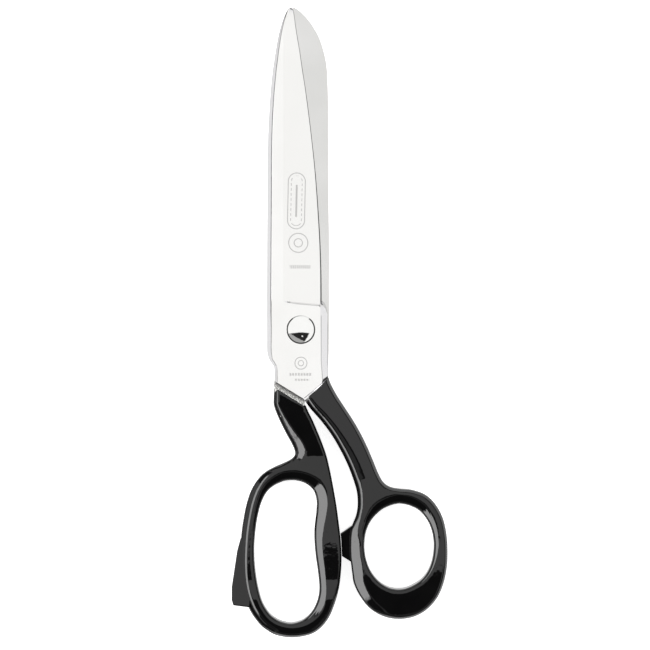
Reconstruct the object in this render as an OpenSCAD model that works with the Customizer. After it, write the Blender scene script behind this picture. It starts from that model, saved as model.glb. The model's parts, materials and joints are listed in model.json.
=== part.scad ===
// Fabric shears with bent handles: two crossed forgings on one pivot screw.
// The blades point along +Y and the pivot axis stands along +Z.
// The origin is where the pivot axis meets the flat outer face of the nut.
// The thumb half lies above the ride plane and the finger half below it.

/* [Blades] */
// distance from the pivot axis to the blade tips
blade_length = 156; // [120:1:180]
// thickness of one half at the pivot
boss_t = 4.8; // [4:0.1:6]
// thickness of one blade close to its tip
tip_t = 1.5; // [1:0.1:2.5]
// width of the bevel along each blade's back
spine_bevel = 2.1; // [1:0.1:3]
// width of the strip left flat beside that bevel
flat_strip = 7.7; // [5:0.1:10]
// how far each inner face is ground hollow
hollow = 0.35; // [0.1:0.05:0.6]
// distance from the ride plane to each half's inner face
ride_gap = 0.05; // [0.03:0.01:0.1]

/* [Handles] */
// thickness of each handle where it leaves the pivot
shank_t = 12; // [10:0.5:14]
// thickness of each bow
bow_t = 9.2; // [8:0.1:10]
// thickness at the foot of the longer bow
foot_t = 7.2; // [6:0.1:8]
// thickness of the enamel
coat_t = 0.4; // [0.3:0.05:0.8]
// how far the first edge rounding step comes in
round_a = 0.8; // [0.4:0.1:1.2]
// how far the second edge rounding step comes in
round_b = 2.0; // [1.4:0.1:2.4]

/* [Pivot] */
// diameter of the screw's domed head
head_d = 13.9; // [12:0.1:15]
// height of the domed head
head_h = 2.9; // [2:0.1:4]
// radius of the shank that turns in the finger half
shank_r = 3; // [2.5:0.1:3.5]
// radial running clearance round that shank
clearance = 0.04; // [0.02:0.01:0.08]
// width across the square neck that keys the screw to the thumb half
neck_w = 7; // [6.2:0.1:8]
// radius of the threaded end
thread_r = 2.5; // [2:0.1:2.9]
// diameter of the spring washer
washer_d = 12; // [11:0.5:14]
// thickness of the spring washer
washer_t = 0.8; // [0.5:0.1:1.2]
// width of the hexagonal nut across its flats
nut_af = 10; // [8:0.5:11]
// height of the nut
nut_h = 3.2; // [2.5:0.1:4]

/* [Hidden] */
steel = [0.86, 0.86, 0.84];
plated = [0.8, 0.8, 0.79];
enamel = [0.03, 0.03, 0.03];
washer_top = -boss_t - ride_gap;
nut_top = washer_top - washer_t;
ride_z = -nut_top + nut_h;
drawn_length = 156;
stretch = blade_length / drawn_length;
far = 60;
deep = 20;
lap = 0.6;
curve_steps = 4;
dome_steps = 10;
round_fn = 72;

// a point on the curve through b and c, with a and d as its neighbours
function along(a, b, c, d, t) =
    0.5 * (2 * b + (c - a) * t + (2 * a - 5 * b + 4 * c - d) * t * t
    + (3 * b - a - 3 * c + d) * t * t * t);
// a closed smooth curve through hand-chosen points
function loop(p) = [
    for (i = [0 : len(p) - 1], k = [0 : curve_steps - 1])
        along(p[(i + len(p) - 1) % len(p)], p[i], p[(i + 1) % len(p)],
            p[(i + 2) % len(p)], k / curve_steps)
];
// an open smooth curve through hand-chosen points
function path(p) = concat([
    for (i = [0 : len(p) - 2], k = [0 : curve_steps - 1])
        along(p[max(i - 1, 0)], p[i], p[i + 1],
            p[min(i + 2, len(p) - 1)], k / curve_steps)
], [p[len(p) - 1]]);
// the same closed curve moved inwards by d along its own normals
function inset(q, d) = [
    for (i = [0 : len(q) - 1])
        let (v = q[(i + 1) % len(q)] - q[(i + len(q) - 1) % len(q)])
            q[i] + d * [-v[1], v[0]] / norm(v)
];

// blade stations: distance along the blade, back, cutting edge
thumb_rows = path([
    [6, -16.5, 10.6], [24, -16.5, 9.9], [48, -16.3, 9.1], [72, -16.1, 7.6],
    [96, -15.6, 4.8], [116, -14.5, 2.3], [131, -12.8, 0.2], [141, -10.9, -1.5],
    [148, -9.1, -2.6], [152.5, -7.6, -3.4], [155, -6.3, -3.9], [156, -5.2, -4.4]
]);
// the finger blade, drawn as seen from its own outer face
finger_rows = path([
    [6, -13.6, 13], [24, -13.7, 12.8], [48, -13.5, 12.3], [72, -13.2, 11.6],
    [96, -13.2, 10.2], [116, -12.9, 8.7], [131, -11.9, 7.4], [140, -9.4, 6.7],
    [146, -6.3, 6.1], [151, -2.6, 5.4], [154.4, 0.9, 4.9], [156, 3.5, 4.6]
]);

// boss outlines, seen from each half's own outer face
thumb_boss = [
    [13, 7], [11.2, 11.6], [9.9, 12.9], [-16.5, 12.9], [-16.5, -6],
    [-16.3, -11], [-15.5, -14.6], [-13.9, -16.7], [-12.8, -18.9],
    [-12.4, -21.5], [-12.3, -25.2], [1.1, -33.4], [10.5, -25.6], [13, -24.4]
];
finger_boss = [
    [13, 7], [11.2, 11.6], [9.9, 12.9], [-13.6, 12.9], [-13.6, -9],
    [-13.5, -13], [-13.2, -17], [-12.6, -20], [-12.3, -25.2],
    [-3.2, -31.2], [-2.4, -36], [0, -34], [10.5, -25.4], [13, -24.3]
];

// thumb handle: outer curve with its shank, then the thumb opening
thumb_outer = loop([
    [1.1, -33.4], [4.8, -38.6], [11, -46], [16.7, -54.7], [21.6, -63.4],
    [25.1, -72.1], [27.2, -81], [26.4, -89.8], [23.6, -95.2], [20.6, -99.5],
    [20, -104.5], [21, -110], [23.6, -114.8], [25, -120.8], [28, -128],
    [35, -136], [47, -139.8], [59, -136.6], [66.2, -128.9], [69.9, -118.6],
    [70.8, -108], [70.3, -98.3], [68.1, -89.6], [62.6, -81.2], [54, -77.9],
    [44.4, -76.4], [38.6, -72.1], [34.6, -62.5], [29.2, -50.8],
    [21.4, -38.3], [15.4, -28.4], [13, -22.8], [8, -18], [1, -21], [-0.8, -28]
]);
thumb_inner = loop([
    [48, -84.2], [41, -86.3], [34.6, -91.4], [31.2, -97.6], [30.6, -104.6],
    [31.4, -110.8], [34.2, -117.4], [39.5, -123.3], [47, -125.5],
    [54.8, -123.2], [60.4, -118.3], [63.5, -111.6], [64.1, -103.8],
    [62.6, -95.2], [57.6, -87.6]
]);
// finger handle: outer curve with its shank, then the finger opening
finger_outer = loop([
    [-13.1, -36.6], [-9.4, -46], [-5.6, -53.2], [-3.1, -59], [-6.4, -63.6],
    [-13.4, -66.8], [-20.2, -71.8], [-24.8, -79.4], [-27.6, -90],
    [-29, -101], [-29.4, -112], [-28.8, -123], [-26, -133.4], [-19.4, -142.9],
    [-11.4, -147.8], [-2.9, -148.9], [6, -146.8], [13.2, -139.6],
    [17.6, -128.4], [19.4, -116.4], [19.4, -105.2], [18, -91], [15, -72.1],
    [12.2, -60.5], [8, -49.6], [3.9, -40.2], [2.3, -35.4], [1.6, -28],
    [-3, -21.6], [-9.6, -21], [-12.9, -26]
]);
finger_inner = loop([
    [-4.6, -72.8], [-12.6, -75], [-18.2, -81.4], [-21.2, -91.6],
    [-22.6, -105], [-21.9, -118.4], [-18.6, -132], [-13.2, -139.2],
    [-5, -142.2], [2.8, -139.2], [7.6, -132], [8.9, -122], [7, -108],
    [6.5, -97], [7.6, -84.6], [3.6, -75.4]
]);
// flat rest spur at the foot of the finger bow
finger_spur = [
    [-27, -98], [-29.6, -102], [-31, -107], [-32.5, -117], [-33.5, -125],
    [-33.5, -131], [-32.6, -133.4], [-25.6, -134], [-22, -128]
];

// where each enamel coat starts, as cut-off areas seen from above
thumb_top_cut = [
    [-far, far], [-far, -38.1], [1.1, -33.4], [9.8, -25.4], [13.2, -23.6],
    [far, 0], [far, far]
];
thumb_under_cut = [
    [-far, far], [-far, -42], [2.7, -42], [3.2, -36], [3.6, -33.4],
    [13.6, -27], [far, 2], [far, far]
];
finger_top_cut = [
    [far, far], [far, -42], [3.3, -42], [1.7, -36.8], [-12.7, -28.1],
    [-far, 0], [-far, far]
];
finger_under_cut = [
    [far, far], [far, -36.8], [2.6, -36.8], [-9.7, -25.4], [-13.2, -23.6],
    [-far, 0], [-far, far]
];
// width of bare metal between the ride face and the enamel
ramp = 2.4;
// the same between the outer boss face and the enamel
step = 0.8;
// how far the bare wall beside the ride face leans back
slope = 24;
// directions of the two ride face ends
finger_turn = -31;
thumb_turn = 32;
// thickness of the rest spur
spur_t = 6.4;
// how far the screw's end lies inside the nut
screw_recess = 0;

function outer_height(y) =
    tip_t + (boss_t - tip_t) * pow(1 - max(y, 0) / drawn_length, 0.8);

// one cross-section, from the back round the outer face to the edge
function section(row) =
    let (
        w = row[2] - row[1],
        h = outer_height(row[0]) - ride_gap,
        bevel = min(spine_bevel, w / 5),
        strip = min(flat_strip, w / 3),
        lip = min(0.7, w / 8),
        dip = hollow * min(w, 20) / 20
    ) [
        for (p = [
            [row[1], ride_gap + dip], [row[1], h - bevel * 0.55],
            [row[1] + bevel, h], [row[1] + strip, h],
            [row[2] - lip, ride_gap + lip], [row[2], ride_gap + 0.1],
            [row[2] - lip * 2, ride_gap], [row[1] + w / 2, ride_gap + dip]
        ]) [p[0], row[0] * stretch, p[1]]
    ];

module blade_body(rows) {
    sides = 8;
    last = (len(rows) - 1) * sides;
    polyhedron(
        points = [for (r = rows) for (p = section(r)) p],
        faces = concat(
            [[for (k = [0 : sides - 1]) k]],
            [[for (k = [sides - 1 : -1 : 0]) last + k]],
            [for (i = [0 : len(rows) - 2], k = [0 : sides - 1])
                [i * sides + k, (i + 1) * sides + k, i * sides + (k + 1) % sides]],
            [for (i = [0 : len(rows) - 2], k = [0 : sides - 1])
                [i * sides + (k + 1) % sides, (i + 1) * sides + k,
                    (i + 1) * sides + (k + 1) % sides]]
        ),
        convexity = 6
    );
}

// the thick middle of one half, seen from its own outer face
module boss_body(outline) {
    spine_x = outline[3][0];
    bevel_w = 3.6;
    difference() {
        translate([0, 0, ride_gap])
            linear_extrude(boss_t - ride_gap) polygon(outline);
        // broad bevel along the right side
        translate([13 - bevel_w, -far, boss_t])
            rotate([0, 30, 0]) cube([far, 2 * far, deep]);
        // narrow bevel that runs on from the blade's back
        translate([spine_x + spine_bevel, -18, boss_t])
            rotate([0, -30, 0]) translate([-far, 0, 0]) cube([far, far, deep]);
    }
}

// how thick a handle is along its length, as half a side view
thickness_line = [
    [-10, shank_t / 2], [-31, shank_t / 2], [-61, bow_t / 2],
    [-106, bow_t / 2], [-152, foot_t / 2]
];

// a handle as three nested slabs with stepped rounding, g inside the coat
module handle_body(outer, inner, g) {
    intersection() {
        for (s = [[bow_t * 0.32, 0], [bow_t * 0.43, round_a], [shank_t / 2, round_b]])
            translate([0, 0, g - s[0]])
                linear_extrude(2 * (s[0] - g)) difference() {
                    polygon(inset(outer, s[1] + g));
                    polygon(inset(inner, -s[1] - g));
                }
        translate([-far, 0, 0]) rotate([90, 0, 90])
            linear_extrude(3 * far) polygon(concat(
                [for (p = thickness_line) [p[0], p[1] - g]],
                [for (k = [len(thickness_line) - 1 : -1 : 0])
                    [thickness_line[k][0], g - thickness_line[k][1]]]
            ));
    }
}

module spur_body(g) {
    translate([0, 0, g - spur_t / 2]) linear_extrude(spur_t - 2 * g)
        polygon(g > 0 ? inset(finger_spur, g) : finger_spur);
}

// a cut-off area that reaches up or down from one half's inner face
module top_cut(area, shift, face) {
    translate([shift[0], shift[1], face]) linear_extrude(deep) polygon(area);
}

module under_cut(area, shift, face) {
    translate([shift[0], shift[1], face - deep])
        linear_extrude(deep) polygon(area);
}

// a wedge that slopes the wall rising from the line at p, turned by turn
module slope_cut(p, turn) {
    translate([p[0], p[1], ride_gap]) rotate([0, 0, turn])
        rotate([slope, 0, 0]) translate([-far, 0, 0]) cube([2 * far, far, deep]);
}

module thumb_coat_volume(g) {
    difference() {
        handle_body(thumb_outer, thumb_inner, g);
        if (g == 0) {
            top_cut(thumb_top_cut, [0, 0], ride_gap);
            under_cut(thumb_under_cut, [ramp * 0.53, -ramp * 0.85], ride_gap);
        } else {
            top_cut(thumb_top_cut, [-step * 0.7, step * 0.7], ride_gap);
            under_cut(thumb_under_cut, [0, 0], ride_gap);
            rotate([0, 180, 0]) slope_cut([-3.6, -33.4], 180 - thumb_turn);
        }
    }
}

module finger_coat_volume(g) {
    difference() {
        union() {
            handle_body(finger_outer, finger_inner, g);
            spur_body(g);
        }
        if (g == 0) {
            under_cut(finger_under_cut, [0, 0], -ride_gap);
            top_cut(finger_top_cut, [-ramp * 0.53, -ramp * 0.85], -ride_gap);
        } else {
            under_cut(finger_under_cut, [step * 0.7, step * 0.7], -ride_gap);
            top_cut(finger_top_cut, [0, 0], -ride_gap);
            slope_cut([1.7, -36.8], finger_turn);
        }
    }
}

module pivot_bore(r) {
    translate([0, 0, -deep]) cylinder(r = r, h = 2 * deep, $fn = round_fn);
}

module thumb_blade() {
    color(steel) translate([0, 0, ride_z]) difference() {
        union() {
            blade_body(thumb_rows);
            boss_body(thumb_boss);
            thumb_coat_volume(coat_t);
        }
        translate([-neck_w / 2, -neck_w / 2, -deep / 2])
            cube([neck_w, neck_w, deep]);
    }
}

module thumb_handle_enamel() {
    color(enamel) translate([0, 0, ride_z]) difference() {
        thumb_coat_volume(0);
        handle_body(thumb_outer, thumb_inner, coat_t);
        boss_body(thumb_boss);
    }
}

module finger_blade() {
    color(steel) translate([0, 0, ride_z]) difference() {
        union() {
            rotate([0, 180, 0]) blade_body(finger_rows);
            rotate([0, 180, 0]) boss_body(finger_boss);
            finger_coat_volume(coat_t);
        }
        pivot_bore(shank_r + clearance);
    }
}

module finger_handle_enamel() {
    color(enamel) translate([0, 0, ride_z]) difference() {
        finger_coat_volume(0);
        handle_body(finger_outer, finger_inner, coat_t);
        spur_body(coat_t);
        rotate([0, 180, 0]) boss_body(finger_boss);
    }
}

// domed head, square neck, round shank and threaded end in one piece
module pivot_screw() {
    rim = 0.6;
    dome = head_h - rim;
    dome_r = (head_d * head_d / 4 + dome * dome) / (2 * dome);
    color(plated) translate([0, 0, ride_z]) {
        translate([0, 0, boss_t]) rotate_extrude($fn = round_fn)
            polygon(concat([[0, 0], [head_d / 2, 0]], [
                for (k = [0 : dome_steps])
                    let (x = head_d / 2 * (1 - k / dome_steps))
                        [x, rim + sqrt(dome_r * dome_r - x * x) - dome_r + dome]
            ]));
        translate([-neck_w / 2, -neck_w / 2, ride_gap])
            cube([neck_w, neck_w, boss_t - ride_gap + lap]);
        translate([0, 0, ride_gap - boss_t])
            cylinder(r = shank_r, h = boss_t, $fn = round_fn);
        translate([0, 0, nut_top - nut_h + screw_recess])
            cylinder(r = thread_r, h = nut_h + boss_t, $fn = round_fn);
    }
}

module tension_washer() {
    color(plated) translate([0, 0, ride_z + nut_top]) difference() {
        cylinder(d = washer_d, h = washer_t, $fn = round_fn);
        translate([0, 0, -lap])
            cylinder(r = thread_r, h = washer_t + 2 * lap, $fn = round_fn);
    }
}

module pivot_nut() {
    color(plated) difference() {
        intersection() {
            cylinder(d = nut_af / cos(30), h = nut_h, $fn = 6);
            rotate_extrude($fn = round_fn) polygon([
                [0, 0], [nut_af / 2, 0], [nut_af / 2 + lap * 1.5, lap],
                [nut_af / 2 + lap * 1.5, nut_h], [0, nut_h]
            ]);
        }
        translate([0, 0, -lap])
            cylinder(r = thread_r, h = nut_h + 2 * lap, $fn = round_fn);
    }
}

finger_blade();
finger_handle_enamel();
thumb_blade();
thumb_handle_enamel();
pivot_screw();
tension_washer();
pivot_nut();
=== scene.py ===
import json
import math
import bpy
import numpy as np
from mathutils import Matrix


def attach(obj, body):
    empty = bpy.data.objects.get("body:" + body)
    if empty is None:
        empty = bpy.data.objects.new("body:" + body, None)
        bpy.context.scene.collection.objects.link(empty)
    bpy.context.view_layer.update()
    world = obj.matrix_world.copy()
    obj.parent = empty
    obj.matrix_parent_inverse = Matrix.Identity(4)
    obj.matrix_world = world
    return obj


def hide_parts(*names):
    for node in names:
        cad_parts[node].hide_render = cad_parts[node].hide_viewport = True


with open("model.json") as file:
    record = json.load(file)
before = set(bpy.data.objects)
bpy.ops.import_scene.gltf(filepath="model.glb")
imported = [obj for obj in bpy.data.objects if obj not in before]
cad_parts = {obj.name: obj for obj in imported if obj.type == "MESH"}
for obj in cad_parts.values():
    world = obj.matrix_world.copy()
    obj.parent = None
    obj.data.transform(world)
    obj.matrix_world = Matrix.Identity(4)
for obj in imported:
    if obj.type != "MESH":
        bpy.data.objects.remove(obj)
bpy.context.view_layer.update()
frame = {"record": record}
mm = 0.001
rideZ = frame["record"]["behaviour"]["joints"][0]["pos_m"][2] / mm  # plane on which the halves slide


def curveAt(points, t, closed=False):
    # Catmull-Rom curve at any parameter: whole numbers are the control points, and between
    # two of them it is the cubic whose tangents come from the points either side
    p = np.asarray(points, float)
    n = len(p)
    i = np.floor(t).astype(int)
    if not closed:
        i = np.clip(i, 0, n - 2)
    f = (np.asarray(t, float) - i)[:, None]

    def at(k):
        return p[k % n] if closed else p[np.clip(k, 0, n - 1)]

    a, b, c, d = at(i - 1), at(i), at(i + 1), at(i + 2)
    return 0.5 * (2 * b + (c - a) * f + (2 * a - 5 * b + 4 * c - d) * f**2 + (3 * b - a - 3 * c + d) * f**3)


def steppedThrough(counts):
    # parameters from 0 to the number of intervals, with interval k cut into counts[k] equal steps
    return np.concatenate([k + np.arange(c) / c for k, c in enumerate(counts)] + [[float(len(counts))]])


def spacedParameters(points, size):
    # parameters that step along an open list of control points in steps of about size
    p = np.asarray(points, float)
    counts = np.maximum(2, np.ceil(np.linalg.norm(np.diff(p, axis=0), axis=1) / size).astype(int))
    return steppedThrough(counts)


def evenly(line, count):
    # resamples a polyline at equal steps of its own length
    run = np.concatenate([[0], np.cumsum(np.linalg.norm(np.diff(line, axis=0), axis=1))])
    s = np.linspace(0, run[-1], count)
    return np.stack([np.interp(s, run, line[:, k]) for k in range(line.shape[1])], 1)


def distanceTo(line, xy, closed=False):
    # shortest distance from each point to a polyline and the index of the nearest step, in blocks
    if closed:
        line = np.vstack([line, line[:1]])
    a, d = line[:-1], np.diff(line, axis=0)
    dd = np.maximum((d * d).sum(1), 1e-12)
    flat = xy.reshape(-1, 2)
    out, near = np.empty(len(flat)), np.empty(len(flat), int)
    for block in np.array_split(np.arange(len(flat)), max(1, len(flat) * len(a) // 4000000)):
        v = flat[block, None, :] - a[None]
        t = np.clip((v * d[None]).sum(2) / dd, 0, 1)
        r = ((v - t[..., None] * d[None]) ** 2).sum(2)
        near[block] = r.argmin(1)
        out[block] = np.sqrt(r.min(1))
    return out.reshape(xy.shape[:-1]), near.reshape(xy.shape[:-1])


def smooth(x, lo, hi):
    # 0 below lo, 1 above hi, an S-curve between
    t = np.clip((x - lo) / (hi - lo), 0, 1)
    return t * t * (3 - 2 * t)


def softMin(a, b, r):
    # the lower of two heights, blended over r where they cross
    h = np.clip(0.5 + 0.5 * (b - a) / r, 0, 1)
    return b + (a - b) * h - r * h * (1 - h)


def makeMesh(name, sheets, smoothAngle=40):
    # each sheet is (grid of points in mm, wraps in u, flipped); sheets share edges and are welded
    points, faces, start = [], [], 0
    for grid, wrapU, flip in sheets:
        rows, cols = grid.shape[:2]
        ids = start + np.arange(rows * cols).reshape(rows, cols)
        if wrapU:
            ids = np.vstack([ids, ids[:1]])
        quads = np.stack([ids[:-1, :-1], ids[1:, :-1], ids[1:, 1:], ids[:-1, 1:]], -1).reshape(-1, 4)
        faces.append(quads[:, ::-1] if flip else quads)
        points.append(grid.reshape(-1, 3))
        start += rows * cols
    points, faces = np.vstack(points), np.vstack(faces)
    keys = np.round(points / 0.002 + 0.31).astype(np.int64)
    _, keep, back = np.unique(keys, axis=0, return_index=True, return_inverse=True)
    points, faces = points[keep], back.reshape(-1)[faces]
    good = (faces != np.roll(faces, 1, 1)).sum(1) >= 3
    good &= (faces[:, 0] != faces[:, 2]) & (faces[:, 1] != faces[:, 3])
    faces = faces[good]
    mesh = bpy.data.meshes.new(name)
    mesh.vertices.add(len(points))
    mesh.vertices.foreach_set("co", (points * mm).astype(np.float32).ravel())
    counts = (faces != np.roll(faces, 1, 1)).sum(1)
    keepCorner = faces != np.roll(faces, 1, 1)
    loops = faces[keepCorner]
    mesh.loops.add(len(loops))
    mesh.loops.foreach_set("vertex_index", loops.astype(np.int32))
    mesh.polygons.add(len(counts))
    mesh.polygons.foreach_set("loop_start", (np.cumsum(counts) - counts).astype(np.int32))
    mesh.update(calc_edges=True)
    mesh.validate()
    mesh.shade_smooth()
    mesh.set_sharp_from_angle(angle=math.radians(smoothAngle))
    obj = bpy.data.objects.new(name, mesh)
    bpy.context.scene.collection.objects.link(obj)
    return obj


def lift(xy, t):
    # puts a height above the ride plane on each plan point
    return np.concatenate([xy, (np.broadcast_to(t, xy.shape[:-1]) + rideZ)[..., None]], -1)


def wall(low, high, rows=6):
    # ruled side between two edge lines, rows apart
    v = np.linspace(0, 1, rows)[None, :, None]
    return low[:, None] * (1 - v) + high[:, None] * v


def acrossNodes(width, near, far, middle):
    # positions from 0 to 1 across a strip: set distances from each side, even between
    width = np.asarray(width, float)[:, None]
    limit = np.minimum(1, 0.46 * width / max(near[-1], far[-1]))
    a = np.asarray(near)[None] * limit / width
    b = 1 - np.asarray(far)[None, ::-1] * limit / width
    k = np.linspace(0, 1, middle + 2)[None, 1:-1]
    return np.concatenate([a, a[:, -1:] * (1 - k) + b[:, :1] * k, b], 1)


edgeSteps = [0, 0.02, 0.08, 0.18, 0.32, 0.5, 0.72, 1.0, 1.35, 1.8, 2.4]

view = {"x": 11.6, "y": 2.2, "height": 884.0, "lens": 100.0, "sensor": 36.0}
cam = bpy.data.cameras.new("camera")
cam.lens, cam.sensor_width = view["lens"], view["sensor"]
cam.clip_start, cam.clip_end = 0.01, 50
camera = bpy.data.objects.new("camera", cam)
camera.location = (view["x"] * mm, view["y"] * mm, view["height"] * mm)
bpy.context.scene.collection.objects.link(camera)
bpy.context.scene.camera = camera
print("camera ready")

thumbBow = {
    "left": [(-1.4, -31.7), (1.1, -33.5), (4.8, -38.5), (9.8, -44.2), (14.7, -50.8), (18.6, -57.4),
             (22.0, -64.1), (24.9, -71.4), (26.9, -78.0)],
    "ring": [(27.4, -84.2), (26.7, -89.4), (25.0, -93.8), (23.9, -96.8), (23.5, -100.2), (23.5, -104.3),
             (23.6, -108.2), (23.8, -110.9), (24.2, -113.4), (24.7, -117.5), (25.6, -122.8),
             (28.6, -129.0), (33.4, -134.9), (39.8, -138.6), (47.0, -139.9), (54.4, -138.8),
             (60.6, -135.4), (65.6, -129.8), (68.7, -122.9), (70.4, -115.0), (70.8, -106.8),
             (70.3, -98.9), (68.6, -91.2), (65.2, -84.7), (60.4, -80.0), (54.0, -77.6), (47.4, -76.9),
             (43.0, -76.0)],
    "right": [(39.7, -73.6), (37.2, -69.1), (34.9, -63.4), (31.8, -56.2), (28.1, -48.8), (24.6, -42.9),
              (20.8, -37.1), (17.1, -31.4), (13.9, -25.3), (13.1, -22.4)],
    "opening": [(36.6, -89.2), (34.6, -91.3), (32.9, -93.9), (31.6, -97.0), (31.0, -99.6), (30.7, -102.0),
                (30.6, -104.8), (30.9, -108.2), (31.3, -110.4), (32.3, -113.6), (33.6, -116.5),
                (35.8, -119.7), (38.8, -122.6), (42.3, -124.6), (45.0, -125.3), (47.4, -125.5),
                (50.4, -125.1), (53.9, -123.7), (57.6, -121.3), (60.6, -117.9), (62.7, -113.5),
                (63.9, -108.2), (64.1, -102.6), (63.1, -96.9), (60.9, -91.9), (57.3, -87.6),
                (52.8, -85.2), (48.2, -84.2), (45.2, -84.5), (42.4, -85.4), (39.2, -87.0)],
    "cap": [(1.7, -34.2), (10.5, -26.15), (13.2, -22.95)],  # enamel edge on the outer side
    "under": [(4.5, -38.1), (5.4, -34.9), (15.1, -28.0)],  # and on the side that faces the other half
}
fingerBow = {
    "left": [(-13.0, -23.4), (-12.95, -27.8), (-13.2, -33.2), (-13.1, -36.6), (-11.5, -41.2),
             (-9.2, -46.3), (-6.6, -51.4), (-4.2, -55.7), (-3.0, -58.8), (-3.1, -60.9)],
    "ring": [(-5.0, -62.8), (-8.6, -64.6), (-12.8, -66.4), (-17.4, -69.0), (-20.9, -72.4), (-24.0, -77.4),
             (-26.2, -83.6), (-27.7, -90.6), (-28.8, -98.0), (-29.3, -105.5), (-29.5, -113.0),
             (-29.0, -121.0), (-27.5, -128.6), (-24.6, -136.0), (-20.4, -142.0), (-16.6, -145.3),
             (-11.6, -147.9), (-4.0, -148.93), (4.2, -147.6), (9.4, -144.4), (13.6, -139.0),
             (16.6, -131.6), (18.5, -124.2), (19.4, -116.2), (19.6, -109.0), (19.2, -101.6),
             (18.4, -94.6), (17.0, -84.0), (15.1, -73.4)],
    "right": [(13.7, -66.6), (12.2, -60.6), (10.1, -54.6), (7.8, -48.9), (5.6, -43.8), (3.6, -39.8),
              (2.4, -36.9), (1.7, -33.6), (2.6, -31.2), (5.4, -28.9)],
    "opening": [(-7.3, -73.1), (-9.8, -73.9), (-12.6, -75.2), (-15.4, -77.3), (-17.6, -80.2),
                (-19.4, -84.4), (-20.6, -88.8), (-21.5, -93.4), (-22.2, -99.2), (-22.6, -105.2),
                (-22.5, -111.6), (-21.9, -118.0), (-20.7, -125.0), (-18.7, -131.8), (-15.6, -137.0),
                (-12.6, -139.7), (-9.2, -141.4), (-4.8, -142.2), (-0.4, -141.2), (2.9, -139.1),
                (5.6, -136.0), (7.5, -132.2), (8.6, -128.0), (8.8, -123.4), (8.1, -116.4), (7.1, -109.4),
                (6.5, -102.6), (6.5, -96.0), (7.4, -87.6), (7.5, -82.4), (6.0, -77.7), (2.4, -74.5),
                (-2.4, -73.0)],
    "cap": [(-12.95, -27.9), (-5.4, -32.3), (2.4, -37.1)],
    "under": [(-13.05, -23.7), (-9.6, -25.6), (2.4, -36.9)],
}
handles = {"blend": 0.12, "least": 1.7, "step": 0.5}  # where bevels meet, least height, outline step
outerHeight = [(-150, 4.7), (-119, 5.5), (0, 5.5)]  # side away from the other half
# and the side that crosses over it
innerHeight = [(-150, 3.5), (-130.5, 4.5), (-121, 4.25), (-106, 4.4), (-61, 4.4), (-20, 6.95), (0, 6.95)]


def heightAlong(table, y):
    # height at y by straight lines between the table's rows
    t = np.asarray(table, float)
    return np.interp(y, t[:, 0], t[:, 1])


def past(d, limit, r=0.16):
    # how far d falls short of limit, never below 0, with a soft start r wide
    x = limit - d
    return 0.5 * (x + np.sqrt(x * x + r * r))


def slopedDrop(d, steps):
    # depth below the flat at distance d from an edge; each step is (its far limit, its slope in degrees)
    total, before = 0, 0
    for limit, angle in steps:
        now = past(d, limit)
        total = total + np.tan(np.radians(angle)) * np.maximum(0, now - before)
        before = now
    return total


def blended(d, west, rim, steep, shoulder, extra, firm, gentle):
    # west sides have a rim, a shoulder and a soft roll of chosen widths; others a broad steep rim
    roll = shoulder + extra
    soft = slopedDrop(d, [(0.3, 62), (rim, steep), (rim + 0.35, 33), (shoulder, 26), (roll, 20.4),
                          (roll + gentle, 14.5)])
    hard = slopedDrop(d, [(0.15 * firm, 70), (1.25 * firm, 54), (1.95 * firm, 40), (2.4 * firm, 18)])
    return soft * west + hard * (1 - west)


def handleHeight(table, xy, side, opening, inner):
    # plan height less the drop towards the outline and the drop towards the opening
    base = heightAlong(table, xy[..., 1])
    d, near = distanceTo(side["line"], xy)
    shape = np.moveaxis(side["shape"][near], -1, 0)
    t = base - blended(d, side["west"][near], *shape)
    d, near = distanceTo(opening, xy, closed=True)
    slopes = slopedDrop(d, [(0.45, 64), (0.9, 38), (inner[near], 26), (inner[near] + 0.5, 12)])
    return np.maximum(softMin(t, base - slopes, handles["blend"]), handles["least"])


def stripRows(outline, iA, iB, capLine, rows):
    # the shank's two sides from the bow up to the enamel's edge, paired row by row
    cap = np.asarray(capLine, float)
    left, right = outline[: iA + 1][::-1], outline[iB:]
    left = left[: np.argmin(np.linalg.norm(left - cap[0], axis=1)) + 1]
    right = right[: np.argmin(np.linalg.norm(right - cap[-1], axis=1)) + 1]
    left, right = evenly(left, rows), evenly(right, rows)
    cap = np.vstack([left[-1], cap[1:-1], right[-1]])
    width = np.linalg.norm(right - left, axis=1)
    w = acrossNodes(width, edgeSteps, edgeSteps, 16)[..., None]
    run = np.concatenate([[0], np.cumsum(np.linalg.norm(np.diff(cap, axis=0), axis=1))])
    end = np.stack([np.interp(w[-1, :, 0] * run[-1], run, cap[:, k]) for k in range(2)], 1)
    bend = end - (left[-1] * (1 - w[-1]) + right[-1] * w[-1])
    share = smooth(np.linspace(0, 1, rows), 0.45, 1.0)[:, None, None]
    return left[:, None] * (1 - w) + right[:, None] * w + share * bend[None]


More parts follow.
